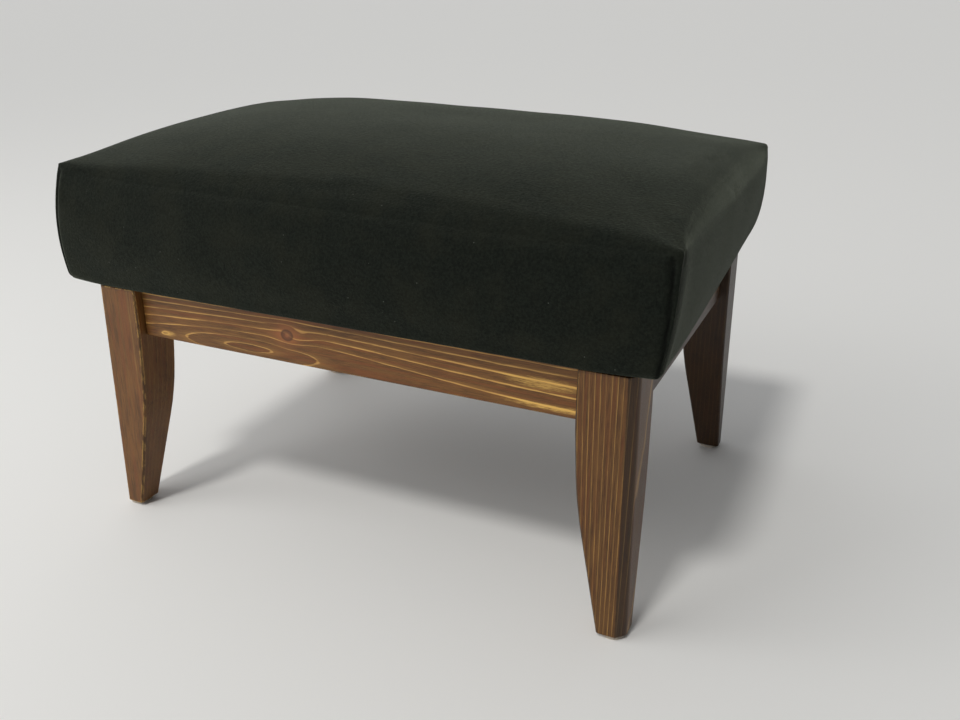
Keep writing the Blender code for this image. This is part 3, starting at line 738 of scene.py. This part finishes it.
def plywood():
    """Return plywood: a pale face veneer, and at the edges thin layers whose grain turns by turns."""
    paint = Paint("plywood")
    low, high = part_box("seat_board")
    height = paint.math("SUBTRACT", paint.axes()[2], low[2])
    layer = paint.math("DIVIDE", height, (high[2] - low[2]) / PLY_LAYERS)
    odd = paint.math("GREATER_THAN", paint.math("FRACT", paint.math("MULTIPLY", layer, 0.5)), 0.5)
    off = paint.math("ABSOLUTE", paint.math("SUBTRACT", paint.math("FRACT", layer), 0.5))
    long_way = paint.noise((60 * MM, 1.1 * MM, 0.7 * MM), detail=3, rough=0.6)
    cross_way = paint.noise((1.0 * MM, 60 * MM, 0.5 * MM), detail=3, rough=0.6, shift=4.0)
    veneer = paint.mix(paint.between(long_way, 0.3, 0.7), (0.52, 0.34, 0.18), (0.69, 0.50, 0.30))
    turned = paint.mix(paint.between(cross_way, 0.3, 0.7), (0.34, 0.19, 0.09), (0.50, 0.31, 0.16))
    shade = paint.mix(odd, veneer, turned)
    shade = paint.mix(paint.between(off, 0.44, 0.49, 0.0, 0.75), shade, (0.10, 0.045, 0.02))
    paint.set(Base_Color=shade, Roughness=paint.between(long_way, 0.3, 0.7, 0.60, 0.75))
    paint.bump(long_way, 0.2 * MM)
    return paint.material


def zinc():
    """Return zinc-plated steel: bright, slightly yellow in patches, with fine scratches."""
    paint = Paint("zinc")
    patch = paint.noise(2.5 * MM, detail=3, rough=0.6)
    scratch = paint.noise((0.15 * MM, 2.0 * MM, 0.8 * MM), detail=2, shift=2.0)
    shade = paint.mix(paint.between(patch, 0.35, 0.65), (0.60, 0.60, 0.58), (0.66, 0.61, 0.46))
    shade = paint.mix(paint.between(scratch, 0.62, 0.75, 0.0, 0.5), shade, (0.30, 0.30, 0.29))
    paint.set(Base_Color=shade, Metallic=1.0, Roughness=paint.between(patch, 0.3, 0.7, 0.26, 0.42))
    paint.bump(scratch, 0.03 * MM)
    return paint.material


def glide_felt():
    """Return the glides' pressed felt: pale, matted fibres that are greyed by the floor."""
    paint = Paint("glide_felt")
    fibre = paint.noise(0.8 * MM, detail=4, rough=0.75)
    grime = paint.noise(6 * MM, detail=3, shift=5.0)
    shade = paint.mix(paint.between(fibre, 0.3, 0.7), (0.36, 0.30, 0.24), (0.58, 0.52, 0.44))
    shade = paint.mix(paint.between(grime, 0.45, 0.7, 0.0, 0.5), shade, (0.24, 0.21, 0.18))
    paint.set(Base_Color=shade, Roughness=0.95, Specular_IOR_Level=0.1)
    paint.set(Sheen_Weight=0.3, Sheen_Roughness=0.6)
    paint.bump(fibre, 0.5 * MM)
    return paint.material


def dust_cloth():
    """Return thin black spun cloth: a bonded dot pattern over loose fibres."""
    paint = Paint("dust_cloth")
    waves = []
    for axis in paint.axes()[:2]:
        turn = paint.math("SINE", paint.math("MULTIPLY", axis, 2 * math.pi / DOT_PITCH))
        waves.append(paint.math("MULTIPLY", turn, turn))
    dots = paint.between(paint.math("MULTIPLY", *waves), 0.45, 0.75)
    fibre = paint.noise(0.7 * MM, detail=4, rough=0.8)
    cloud = paint.noise(30 * MM, detail=2, shift=3.0)
    shade = paint.mix(paint.between(fibre, 0.3, 0.7), (0.006, 0.006, 0.007), (0.020, 0.020, 0.022))
    shade = paint.mix(paint.between(cloud, 0.4, 0.7, 0.0, 0.35), shade, (0.030, 0.029, 0.028))
    shade = paint.mix(paint.math("MULTIPLY", dots, 0.5), shade, (0.004, 0.004, 0.005))
    gloss = paint.between(dots, 0.0, 1.0, 0.85, 0.55)
    paint.set(Base_Color=shade, Roughness=gloss, Specular_IOR_Level=0.25)
    height = paint.math("SUBTRACT", paint.math("MULTIPLY", fibre, 0.6), dots)
    paint.bump(height, 0.15 * MM)
    return paint.material


def dress_fittings():
    """Give the nodes that the seat and the aprons hide their materials."""
    rings = round_rings((0.0, -90 * MM), 60 * MM, 5.0 * MM)
    block = pine("pine_block", "X", rings, 31.0, line=0.9 * MM, contrast=0.45, palette=RAW_PINE,
                 gloss=0.60)
    dowels = (beech("beech_in_x", 0), beech("beech_in_y", 1))
    by_prefix = {
        "corner_block_": block,
        "dowel_front_": dowels[0],
        "dowel_back_": dowels[0],
        "dowel_left_": dowels[1],
        "dowel_right_": dowels[1],
        "block_screw_": zinc(),
        "seat_board": plywood(),
        "glide_": glide_felt(),
    }
    by_prefix["seat_screw_"] = by_prefix["block_screw_"]
    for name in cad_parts:
        for prefix, material in by_prefix.items():
            if name.startswith(prefix):
                paint_node(name, material)


def dust_point(along, across, half):
    """Return where a place on the flat dust cloth goes, and whether it is in a turned-in hem."""
    place = []
    turned = False
    for value, size in ((along, half.x), (across, half.y)):
        beyond = abs(value) - size
        if beyond > 0:
            turned = True
            value = math.copysign(size - beyond, value)
        place.append(value)
    return place, turned


def dust_steps(half, grid):
    """Return the flat dust cloth's grid lines along one axis, with those of its two hems."""
    hem = [DUST_HEM * share for share in HEM_STEPS]
    steps = [-half - part for part in reversed(hem)]
    steps += [half * level for level in eased(*grid)]
    steps += [half + part for part in hem]
    return steps


def make_dust_cover():
    """Make the dust cover: a stretched sheet with hems turned in, which sags a little in the middle."""
    low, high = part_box("dust_cover")
    middle = (Vector(low) + Vector(high)) / 2
    half = (Vector(high) - Vector(low)) / 2 - Vector((DUST_EDGE, DUST_EDGE, 0))
    step_x = dust_steps(half.x, DUST_COLUMNS)
    step_y = dust_steps(half.y, DUST_ROWS)
    bm = bmesh.new()
    rows = []
    for across in step_y:
        row = []
        for along in step_x:
            (x, y), turned = dust_point(along, across, half)
            u, v = x / half.x, y / half.y
            inner = max(0.0, 1 - abs(u) ** 3) * max(0.0, 1 - abs(v) ** 3)
            pull = noise.noise(Vector((x / DUST_CREASE[0], y / DUST_CREASE[1], 2.0))) * abs(u * v)
            sag = DUST_SAG * inner + DUST_PUCKER * pull * inner**0.25
            if turned:
                height = high[2] - DUST_CLOTH / 2
            else:
                height = low[2] + DUST_CLOTH / 2 - max(0.0, sag)
            row.append(bm.verts.new((middle.x + x, middle.y + y, height)))
        rows.append(row)
    for lower, upper in zip(rows, rows[1:]):
        for index in range(len(step_x) - 1):
            bm.faces.new((lower[index], lower[index + 1], upper[index + 1], upper[index]))
    mesh = bpy.data.meshes.new("dust_cover_sheet")
    bm.to_mesh(mesh)
    bm.free()
    for face in mesh.polygons:
        face.use_smooth = True
    sheet = bpy.data.objects.new("dust_cover_sheet", mesh)
    bpy.context.scene.collection.objects.link(sheet)
    thick = sheet.modifiers.new("thickness", "SOLIDIFY")
    thick.thickness = DUST_CLOTH
    thick.offset = 0.0
    mesh.materials.append(dust_cloth())
    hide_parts("dust_cover")
    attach(sheet, "root")


# ---------------------------------------------------------------- studio
def make_camera():
    """Add the camera, placed and turned as the photo's was."""
    data = bpy.data.cameras.new("camera")
    data.lens = CAMERA_LENS
    data.sensor_width = SENSOR_WIDTH
    camera = bpy.data.objects.new("camera", data)
    bpy.context.scene.collection.objects.link(camera)
    turn = (
        Matrix.Rotation(CAMERA_YAW, 4, "Z")
        @ Matrix.Rotation(math.pi / 2 - CAMERA_DIP, 4, "X")
        @ Matrix.Rotation(CAMERA_ROLL, 4, "Z")
    )
    camera.matrix_world = Matrix.Translation(CAMERA_AT) @ turn
    bpy.context.scene.camera = camera


def make_floor():
    """Add the wide pale floor that the bench stands on."""
    bpy.ops.mesh.primitive_plane_add(size=FLOOR_SIZE, location=(0, 0, 0))
    floor = bpy.context.object
    floor.name = "floor"
    paint = Paint("floor")
    paint.set(Base_Color=FLOOR_COLOUR, Roughness=0.9, Specular_IOR_Level=0.2)
    floor.data.materials.append(paint.material)


def add_lamp(name, kind, place, back, energy):
    """Add a lamp at a place, which shines the opposite way from a direction."""
    data = bpy.data.lights.new(name, kind)
    data.energy = energy
    data.color = LAMP_COLOUR
    lamp = bpy.data.objects.new(name, data)
    lamp.location = place
    lamp.rotation_euler = back.to_track_quat("Z", "Y").to_euler()
    bpy.context.scene.collection.objects.link(lamp)
    return lamp


def light_studio():
    """Light the scene with a high lamp, a broad one at the left and a pale surround."""
    world = bpy.data.worlds.new("studio")
    world.use_nodes = True
    nodes, links = world.node_tree.nodes, world.node_tree.links
    where = nodes.new("ShaderNodeTexCoord").outputs["Generated"]
    parts = nodes.new("ShaderNodeSeparateXYZ")
    links.new(where, parts.inputs[0])
    fade = nodes.new("ShaderNodeMapRange")
    fade.interpolation_type = "SMOOTHSTEP"
    links.new(parts.outputs["X"], fade.inputs["Value"])
    ends = ("From Min", "From Max", "To Min", "To Max")
    for name, value in zip(ends, SKY_FADE + SKY_STRENGTH):
        fade.inputs[name].default_value = value
    background = nodes["Background"]
    background.inputs["Color"].default_value = SKY_COLOUR
    links.new(fade.outputs[0], background.inputs["Strength"])
    bpy.context.scene.world = world
    lamp = add_lamp("high_lamp", "SUN", Vector(), HIGH_LAMP_FROM, HIGH_LAMP_STRENGTH)
    lamp.data.angle = HIGH_LAMP_WIDTH
    lamp = add_lamp("side_lamp", "AREA", SIDE_LAMP_AT, SIDE_LAMP_AT, SIDE_LAMP_POWER)
    lamp.data.size = SIDE_LAMP_SIZE
    lamp.visible_camera = False
    bpy.context.scene.view_settings.view_transform = "Standard"


make_camera()
make_cushion()
make_dust_cover()
dress_wood()
dress_fittings()
make_floor()
light_studio()
